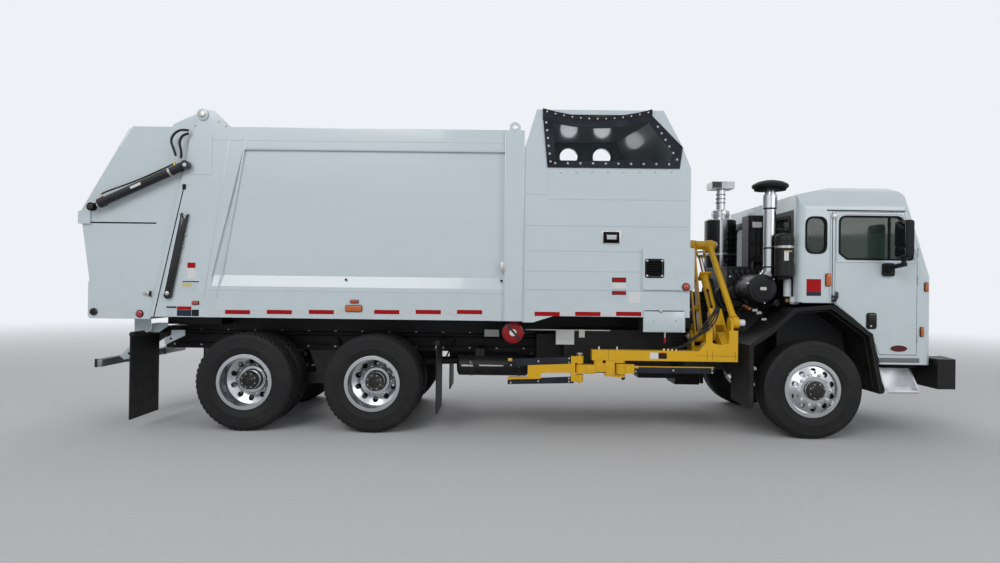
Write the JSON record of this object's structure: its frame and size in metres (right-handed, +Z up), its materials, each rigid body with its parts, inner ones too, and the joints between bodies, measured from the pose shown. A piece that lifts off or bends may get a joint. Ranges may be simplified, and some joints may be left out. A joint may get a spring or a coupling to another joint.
{
  "type": "side loader refuse truck",
  "caption": "Refuse truck with a hollow collecting body, hooded side-loading hopper, lifting tailgate, low cab-over cab and a folding loader arm with a closing gripper.",
  "frame": {"origin": "on the ground at mid length and mid width, under the truck standing on its tyres", "axes": "+X forwards, +Y to the truck's left, +Z up"},
  "size_m": [9.525, 3.08, 3.7],
  "materials": {
    "white_paint": "gloss white enamel",
    "black_paint": "satin black chassis paint",
    "yellow_paint": "gloss yellow enamel",
    "tyre_rubber": "matt black rubber",
    "belt_rubber": "black belting",
    "polished_rim": "polished",
    "bright_metal": "bright plated",
    "cast_metal": "dark cast",
    "glass": "lightly green tinted",
    "black_plastic": "grained black",
    "interior_trim": "dark grey trim",
    "lamp_red": "red lens",
    "lamp_lens": "lamp lens",
    "step_aluminium": "brushed tread plate",
    "hose_rubber": "black hose cover"
  },
  "bodies": {
    "root": {"chassis_frame": "black_paint", "front_axle": "cast_metal", "rear_axles": "cast_metal", "engine": "cast_metal", "air_intake": "bright_metal", "exhaust_stack": "bright_metal", "body_shell": "white_paint", "hopper": "white_paint", "hopper_belting": "belt_rubber", "cab_shell": "white_paint", "cab_glass": "glass", "cab_interior": "interior_trim", "mudguards": "black_plastic", "cab_steps": "step_aluminium", "front_bumper": "black_paint", "lamps": "lamp_lens", "side_tanks": "black_paint", "underride_guard": "black_paint", "arm_base": "yellow_paint"},
    "packer": {"packer_blade": "white_paint"},
    "tailgate": {"tailgate": "white_paint", "tail_lamps": "lamp_red"},
    "boom": {"boom": "yellow_paint"},
    "forearm": {"forearm": "yellow_paint"},
    "gripper": {"gripper_beam": "yellow_paint"},
    "rear_finger": {"rear_finger": "yellow_paint"},
    "front_finger": {"front_finger": "belt_rubber"},
    "tilt_barrel": {"tilt_barrel": "yellow_paint"},
    "tilt_rod": {"tilt_rod": "bright_metal"},
    "lift_barrel": {"lift_barrel": "yellow_paint"},
    "lift_rod": {"lift_rod": "bright_metal"},
    "knuckle_left": {"knuckle_left": "cast_metal"},
    "front_wheel_left": {"front_tyre_left": "tyre_rubber", "front_rim_left": "polished_rim"},
    "door_left": {"cab_door_left": "white_paint", "door_glass_left": "glass", "mirror_left": "black_plastic"},
    "tailgate_barrel_left": {"tailgate_barrel_left": "black_paint", "outer_hose_left": "hose_rubber", "inner_hose_left": "hose_rubber"},
    "tailgate_rod_left": {"tailgate_rod_left": "bright_metal"},
    "mid_wheels_left": {"mid_tyres_left": "tyre_rubber", "mid_rims_left": "polished_rim"},
    "rear_wheels_left": {"rear_tyres_left": "tyre_rubber", "rear_rims_left": "polished_rim"},
    "knuckle_right": {"knuckle_right": "cast_metal"},
    "front_wheel_right": {"front_tyre_right": "tyre_rubber", "front_rim_right": "polished_rim"},
    "door_right": {"cab_door_right": "white_paint", "door_glass_right": "glass", "mirror_right": "black_plastic"},
    "tailgate_barrel_right": {"tailgate_barrel_right": "black_paint", "outer_hose_right": "hose_rubber", "inner_hose_right": "hose_rubber"},
    "tailgate_rod_right": {"tailgate_rod_right": "bright_metal"},
    "mid_wheels_right": {"mid_tyres_right": "tyre_rubber", "mid_rims_right": "polished_rim"},
    "rear_wheels_right": {"rear_tyres_right": "tyre_rubber", "rear_rims_right": "polished_rim"}
  },
  "joints": [
    {"name": "steer_left", "type": "hinge", "parent": "root", "child": "knuckle_left", "pos_m": [3.1625, 0.93, 0.53], "axis": [0, 0, 1], "range_deg": [-35, 35]},
    {"name": "front_wheel_spin_left", "type": "hinge", "parent": "knuckle_left", "child": "front_wheel_left", "pos_m": [3.1625, 1.062, 0.53], "axis": [0, 1, 0], "continuous": true},
    {"name": "door_swing_left", "type": "hinge", "parent": "root", "child": "door_left", "pos_m": [4.2885, 1.17, 1.6], "axis": [0, 0, -1], "range_deg": [0, 70]},
    {"name": "tailgate_cylinder_swing_left", "type": "hinge", "parent": "root", "child": "tailgate_barrel_left", "pos_m": [-3.5805, 1.306, 2.853], "axis": [0, 1, 0], "range_deg": [-1, 81]},
    {"name": "tailgate_cylinder_stroke_left", "type": "slide", "parent": "tailgate_barrel_left", "child": "tailgate_rod_left", "axis": [-0.9094, 0, -0.416], "range_m": [-0.01, 0.78]},
    {"name": "mid_wheels_spin_left", "type": "hinge", "parent": "root", "child": "mid_wheels_left", "pos_m": [-1.5805, 0.9085, 0.53], "axis": [0, 1, 0], "continuous": true},
    {"name": "rear_wheels_spin_left", "type": "hinge", "parent": "root", "child": "rear_wheels_left", "pos_m": [-2.9665, 0.9085, 0.53], "axis": [0, 1, 0], "continuous": true},
    {"name": "steer_right", "type": "hinge", "parent": "root", "child": "knuckle_right", "pos_m": [3.1625, -0.93, 0.53], "axis": [0, 0, 1], "range_deg": [-35, 35]},
    {"name": "front_wheel_spin_right", "type": "hinge", "parent": "knuckle_right", "child": "front_wheel_right", "pos_m": [3.1625, -1.062, 0.53], "axis": [0, 1, 0], "continuous": true},
    {"name": "door_swing_right", "type": "hinge", "parent": "root", "child": "door_right", "pos_m": [4.2885, -1.17, 1.6], "axis": [0, 0, 1], "range_deg": [0, 70]},
    {"name": "tailgate_cylinder_swing_right", "type": "hinge", "parent": "root", "child": "tailgate_barrel_right", "pos_m": [-3.5805, -1.306, 2.853], "axis": [0, 1, 0], "range_deg": [-1, 81]},
    {"name": "tailgate_cylinder_stroke_right", "type": "slide", "parent": "tailgate_barrel_right", "child": "tailgate_rod_right", "axis": [-0.9094, 0, -0.416], "range_m": [-0.01, 0.78]},
    {"name": "mid_wheels_spin_right", "type": "hinge", "parent": "root", "child": "mid_wheels_right", "pos_m": [-1.5805, -0.9085, 0.53], "axis": [0, 1, 0], "continuous": true},
    {"name": "rear_wheels_spin_right", "type": "hinge", "parent": "root", "child": "rear_wheels_right", "pos_m": [-2.9665, -0.9085, 0.53], "axis": [0, 1, 0], "continuous": true},
    {"name": "tailgate_lift", "type": "hinge", "parent": "root", "child": "tailgate", "pos_m": [-3.4405, 0, 3.414], "axis": [0, 1, 0], "range_deg": [0, 80]},
    {"name": "packer_stroke", "type": "slide", "parent": "root", "child": "packer", "axis": [-1, 0, 0], "range_m": [0, 1.1]},
    {"name": "boom_swing", "type": "hinge", "parent": "root", "child": "boom", "pos_m": [2.0975, -0.545, 1.04], "axis": [1, 0, 0], "range_deg": [0, 50]},
    {"name": "forearm_fold", "type": "hinge", "parent": "boom", "child": "forearm", "pos_m": [2.3345, -0.19, 2.13], "axis": [1, 0, 0], "range_deg": [-166, 1]},
    {"name": "wrist_tilt", "type": "hinge", "parent": "forearm", "child": "gripper", "pos_m": [2.3345, -1.15, 1.238], "axis": [1, 0, 0], "range_deg": [-21, 1]},
    {"name": "rear_finger_close", "type": "hinge", "parent": "gripper", "child": "rear_finger", "pos_m": [0.6575, -1.19, 0.722], "axis": [0, 0, 1], "range_deg": [0, 95]},
    {"name": "front_finger_close", "type": "hinge", "parent": "gripper", "child": "front_finger", "pos_m": [1.1005, -1.19, 0.73], "axis": [0, 0, 1], "range_deg": [-96, 1]},
    {"name": "tilt_cylinder_swing", "type": "hinge", "parent": "gripper", "child": "tilt_barrel", "pos_m": [2.2225, -0.975, 1.085], "axis": [1, 0, 0], "range_deg": [-1, 21]},
    {"name": "tilt_cylinder_stroke", "type": "slide", "parent": "tilt_barrel", "child": "tilt_rod", "axis": [0, 0.6616, 0.7498], "range_m": [-0.005, 0.09]},
    {"name": "lift_cylinder_swing", "type": "hinge", "parent": "root", "child": "lift_barrel", "pos_m": [1.9475, 0.15, 0.96], "axis": [1, 0, 0], "range_deg": [-1, 18]},
    {"name": "lift_cylinder_stroke", "type": "slide", "parent": "lift_barrel", "child": "lift_rod", "axis": [0, -0.6821, 0.7313], "range_m": [-0.005, 0.335]}
  ],
  "couplings": [
    {"joint": "tailgate_cylinder_swing_left", "follows": "tailgate_lift", "ratio": 0.99291},
    {"joint": "tailgate_cylinder_stroke_left", "follows": "tailgate_lift", "m_per_rad": 0.53227},
    {"joint": "tailgate_cylinder_swing_right", "follows": "tailgate_lift", "ratio": 0.99291},
    {"joint": "tailgate_cylinder_stroke_right", "follows": "tailgate_lift", "m_per_rad": 0.53227},
    {"joint": "steer_left", "follows": "steer_right", "ratio": 1},
    {"joint": "forearm_fold", "follows": "boom_swing", "ratio": -3.3},
    {"joint": "wrist_tilt", "follows": "boom_swing", "ratio": -0.4},
    {"joint": "tilt_cylinder_swing", "follows": "boom_swing", "ratio": 0.3882},
    {"joint": "tilt_cylinder_stroke", "follows": "boom_swing", "m_per_rad": 0.09126},
    {"joint": "lift_cylinder_swing", "follows": "boom_swing", "ratio": 0.33438},
    {"joint": "lift_cylinder_stroke", "follows": "boom_swing", "m_per_rad": 0.37549},
    {"joint": "front_finger_close", "follows": "rear_finger_close", "ratio": -1}
  ]
}
